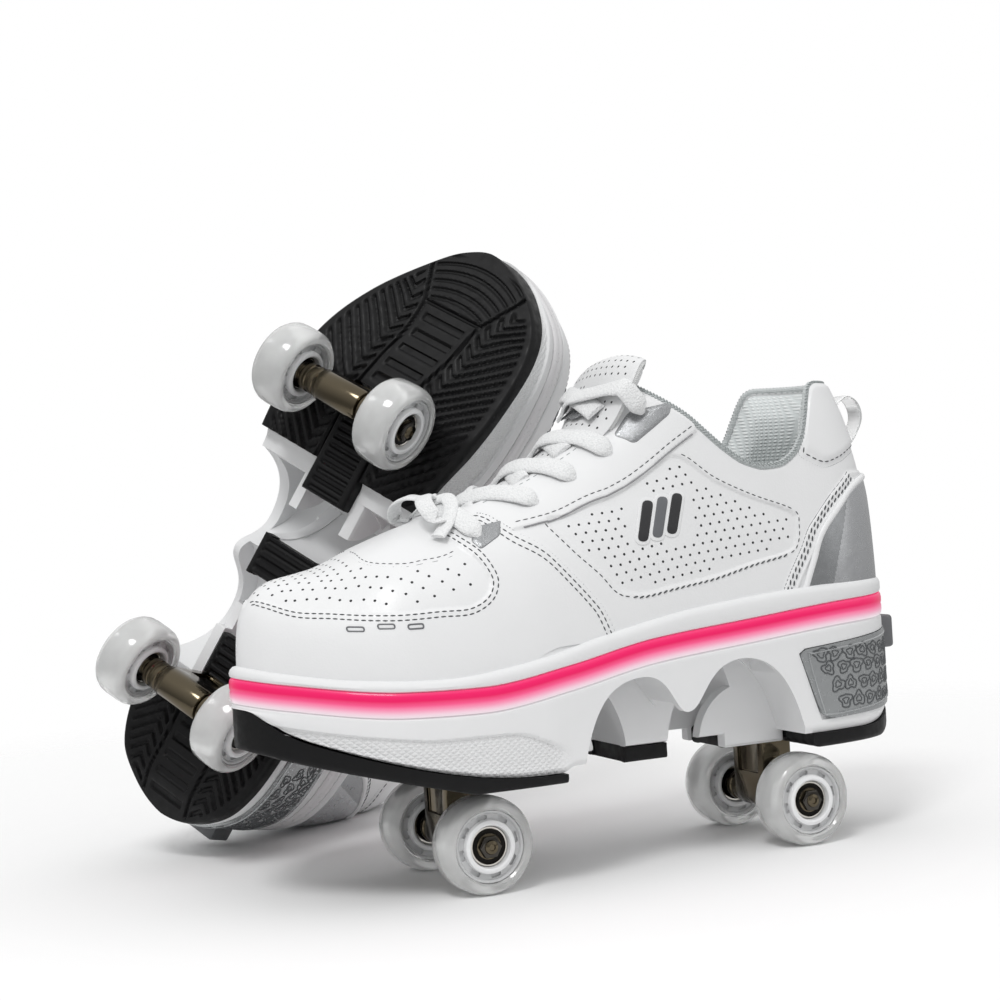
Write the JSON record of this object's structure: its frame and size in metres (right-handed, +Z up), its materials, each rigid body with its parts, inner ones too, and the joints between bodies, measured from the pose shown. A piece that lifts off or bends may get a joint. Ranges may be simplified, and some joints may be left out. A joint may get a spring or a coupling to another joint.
{
  "type": "quad roller skates",
  "caption": "Pair of sneaker-style quad roller skates with flip-in wheel trucks under a thick arched midsole, a lit sole strip and laced uppers.",
  "frame": {"origin": "under the middle of the pair's bounding box, on the ground", "axes": "+Z up; -X towards the toe and +X towards the heel of the standing left skate; -Y towards its outer side"},
  "size_m": [0.3392, 0.2858, 0.2737],
  "materials": {
    "leather": "smooth white synthetic leather, satin",
    "fabric": "white woven polyester",
    "lining": "pale grey-green padded lining",
    "silver": "silver foil leather, semi-gloss",
    "light": "translucent light guide, glowing pink",
    "midsole": "white moulded foam, fine grain",
    "rubber": "black tread rubber, satin",
    "panel": "silver grey moulded panel with a raised outline pattern",
    "button": "mid grey moulded plastic",
    "bronze": "dark gunmetal bronze plating",
    "steel": "bright plated steel",
    "tyre": "milky translucent polyurethane",
    "hub": "white moulded nylon",
    "bearing": "steel races with dark shields"
  },
  "bodies": {
    "left_shoe": {"left_upper": "leather", "left_tongue": "fabric", "left_laces": "fabric", "left_insole": "lining", "left_heel_counter": "silver", "left_light_strip": "light", "left_midsole": "midsole", "left_outsole_front": "rubber", "left_outsole_middle": "rubber", "left_outsole_rear": "rubber", "left_heel_panel": "panel"},
    "left_button": {"left_release_button": "button"},
    "left_front_truck": {"left_front_leg": "bronze", "left_front_flip_pad": "rubber", "left_front_axle": "steel"},
    "left_front_outer_wheel": {"left_front_outer_tyre": "tyre", "left_front_outer_hub": "hub", "left_front_outer_bearing": "bearing"},
    "left_front_inner_wheel": {"left_front_inner_tyre": "tyre", "left_front_inner_hub": "hub", "left_front_inner_bearing": "bearing"},
    "left_rear_truck": {"left_rear_leg": "bronze", "left_rear_flip_pad": "rubber", "left_rear_axle": "steel"},
    "left_rear_outer_wheel": {"left_rear_outer_tyre": "tyre", "left_rear_outer_hub": "hub", "left_rear_outer_bearing": "bearing"},
    "left_rear_inner_wheel": {"left_rear_inner_tyre": "tyre", "left_rear_inner_hub": "hub", "left_rear_inner_bearing": "bearing"},
    "right_shoe": {"right_upper": "leather", "right_tongue": "fabric", "right_laces": "fabric", "right_insole": "lining", "right_heel_counter": "silver", "right_light_strip": "light", "right_midsole": "midsole", "right_outsole_front": "rubber", "right_outsole_middle": "rubber", "right_outsole_rear": "rubber", "right_heel_panel": "panel"},
    "right_button": {"right_release_button": "button"},
    "right_front_truck": {"right_front_leg": "bronze", "right_front_flip_pad": "rubber", "right_front_axle": "steel"},
    "right_front_outer_wheel": {"right_front_outer_tyre": "tyre", "right_front_outer_hub": "hub", "right_front_outer_bearing": "bearing"},
    "right_front_inner_wheel": {"right_front_inner_tyre": "tyre", "right_front_inner_hub": "hub", "right_front_inner_bearing": "bearing"},
    "right_rear_truck": {"right_rear_leg": "bronze", "right_rear_flip_pad": "rubber", "right_rear_axle": "steel"},
    "right_rear_outer_wheel": {"right_rear_outer_tyre": "tyre", "right_rear_outer_hub": "hub", "right_rear_outer_bearing": "bearing"},
    "right_rear_inner_wheel": {"right_rear_inner_tyre": "tyre", "right_rear_inner_hub": "hub", "right_rear_inner_bearing": "bearing"}
  },
  "joints": [
    {"name": "left_button_press", "type": "slide", "parent": "left_shoe", "child": "left_button", "axis": [-1, 0, 0], "range_m": [0, 0.004]},
    {"name": "left_front_flip", "type": "hinge", "parent": "left_shoe", "child": "left_front_truck", "pos_m": [-0.0219, -0.09196, 0.04662], "axis": [0, -1, 0], "range_deg": [0, 180]},
    {"name": "left_front_outer_spin", "type": "hinge", "parent": "left_front_truck", "child": "left_front_outer_wheel", "pos_m": [-0.0494, -0.12296, 0.01962], "axis": [0, 1, 0], "continuous": true},
    {"name": "left_front_inner_spin", "type": "hinge", "parent": "left_front_truck", "child": "left_front_inner_wheel", "pos_m": [-0.0494, -0.06096, 0.01962], "axis": [0, 1, 0], "continuous": true},
    {"name": "left_rear_flip", "type": "hinge", "parent": "left_shoe", "child": "left_rear_truck", "pos_m": [0.0846, -0.09196, 0.04662], "axis": [0, 1, 0], "range_deg": [0, 180]},
    {"name": "left_rear_outer_spin", "type": "hinge", "parent": "left_rear_truck", "child": "left_rear_outer_wheel", "pos_m": [0.1026, -0.12296, 0.01962], "axis": [0, 1, 0], "continuous": true},
    {"name": "left_rear_inner_spin", "type": "hinge", "parent": "left_rear_truck", "child": "left_rear_inner_wheel", "pos_m": [0.1026, -0.06096, 0.01962], "axis": [0, 1, 0], "continuous": true},
    {"name": "right_set_aside", "type": "slide", "parent": "left_shoe", "child": "right_shoe", "axis": [0, 1, 0], "range_m": [0, 0.15]},
    {"name": "right_button_press", "type": "slide", "parent": "right_shoe", "child": "right_button", "axis": [0.4638, -0.2508, 0.8497], "range_m": [0, 0.004]},
    {"name": "right_front_flip", "type": "hinge", "parent": "right_shoe", "child": "right_front_truck", "pos_m": [-0.05646, -0.00417, 0.17912], "axis": [0.4787, -0.7361, -0.4786], "range_deg": [0, 180]},
    {"name": "right_front_outer_spin", "type": "hinge", "parent": "right_front_truck", "child": "right_front_outer_wheel", "pos_m": [-0.07867, -0.00522, 0.2233], "axis": [-0.4787, 0.7361, 0.4786], "continuous": true},
    {"name": "right_front_inner_spin", "type": "hinge", "parent": "right_front_truck", "child": "right_front_inner_wheel", "pos_m": [-0.049, -0.05086, 0.19363], "axis": [-0.4787, 0.7361, 0.4786], "continuous": true},
    {"name": "right_rear_flip", "type": "hinge", "parent": "right_shoe", "child": "right_rear_truck", "pos_m": [-0.10586, 0.02254, 0.08863], "axis": [-0.4787, 0.7361, 0.4786], "range_deg": [0, 180]},
    {"name": "right_rear_outer_spin", "type": "hinge", "parent": "right_rear_truck", "child": "right_rear_outer_wheel", "pos_m": [-0.14918, 0.0329, 0.09415], "axis": [-0.4787, 0.7361, 0.4786], "continuous": true},
    {"name": "right_rear_inner_spin", "type": "hinge", "parent": "right_rear_truck", "child": "right_rear_inner_wheel", "pos_m": [-0.1195, -0.01274, 0.06448], "axis": [-0.4787, 0.7361, 0.4786], "continuous": true}
  ]
}
